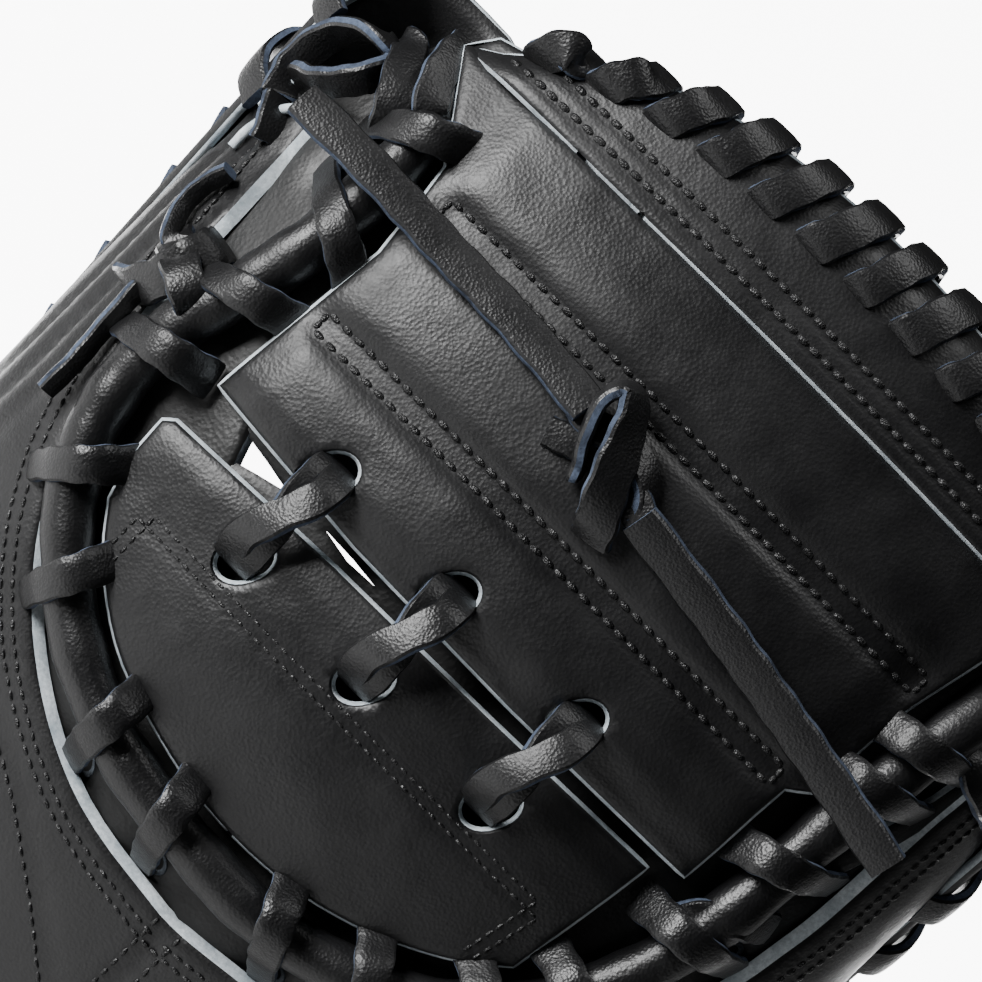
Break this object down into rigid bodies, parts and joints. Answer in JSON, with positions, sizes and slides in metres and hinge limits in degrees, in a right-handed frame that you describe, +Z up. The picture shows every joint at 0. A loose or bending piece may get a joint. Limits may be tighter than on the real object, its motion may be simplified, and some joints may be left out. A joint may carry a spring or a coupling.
{
  "type": "catchers_mitt",
  "caption": "Catcher's mitt standing on its heel: a padded bowl pocket with a laced half-moon web, closed by a fold down the middle.",
  "frame": {"origin": "the middle of the hand opening, level with the flat cut of the heel, in the plane of the fold, 30 mm ahead of the fold's axis", "axes": "+Z up from heel to web, +Y out of the pocket's mouth, -Y the back of the hand, -X the finger half and +X the thumb half"},
  "size_m": [0.1674, 0.1162, 0.2676],
  "materials": {
    "black_leather": "semi-gloss, fine pebble grain",
    "lining_leather": "matt",
    "black_rawhide_lace": "waxed, semi-gloss",
    "wool_felt_pad": "felted wool",
    "fleece": "short pile",
    "hook_and_loop": "woven"
  },
  "bodies": {
    "finger_half": {"finger_back_lining": "lining_leather", "finger_back_shell": "black_leather", "finger_heel_pad": "wool_felt_pad", "finger_palm_leather": "black_leather", "finger_palm_lining": "lining_leather", "finger_palm_pad": "wool_felt_pad", "finger_rim_binding": "black_leather", "finger_rim_lacing": "black_rawhide_lace", "finger_stall_dividers": "lining_leather", "finger_web_binding": "black_leather", "finger_web_edge_lacing": "black_rawhide_lace", "finger_web_gusset": "black_leather", "finger_web_half_moon": "black_leather", "finger_web_panel": "black_leather", "finger_web_pocket_panel": "black_leather", "finger_web_roll": "black_leather", "finger_web_roll_wraps": "black_rawhide_lace", "little_finger_loop": "black_rawhide_lace", "side_knot": "black_rawhide_lace", "strap_patch": "hook_and_loop", "web_knot": "black_rawhide_lace", "web_lace_lower_tail": "black_rawhide_lace", "web_lace_upper_tail": "black_rawhide_lace", "web_tie_1": "black_rawhide_lace", "web_tie_2": "black_rawhide_lace"},
    "thumb_half": {"thumb_back_lining": "lining_leather", "thumb_back_shell": "black_leather", "thumb_heel_pad": "wool_felt_pad", "thumb_loop": "black_rawhide_lace", "thumb_palm_leather": "black_leather", "thumb_palm_lining": "lining_leather", "thumb_palm_pad": "wool_felt_pad", "thumb_rim_binding": "black_leather", "thumb_rim_lacing": "black_rawhide_lace", "thumb_stall_dividers": "lining_leather", "thumb_web_binding": "black_leather", "thumb_web_edge_lacing": "black_rawhide_lace", "thumb_web_gusset": "black_leather", "thumb_web_half_moon": "black_leather", "thumb_web_panel": "black_leather", "thumb_web_pocket_panel": "black_leather", "thumb_web_roll": "black_leather", "thumb_web_roll_wraps": "black_rawhide_lace", "web_tie_3": "black_rawhide_lace"},
    "strap": {"wrist_strap": "black_leather", "wrist_fleece": "fleece"}
  },
  "joints": [
    {"name": "mitt_close", "type": "hinge", "parent": "finger_half", "child": "thumb_half", "pos_m": [0, -0.03, 0.1], "axis": [0, 0, 1], "range_deg": [0, 24]},
    {"name": "strap_open", "type": "hinge", "parent": "thumb_half", "child": "strap", "pos_m": [0.06, -0.02689, 0.02], "axis": [0, -0.4169, 0.909], "range_deg": [0, 75]}
  ]
}
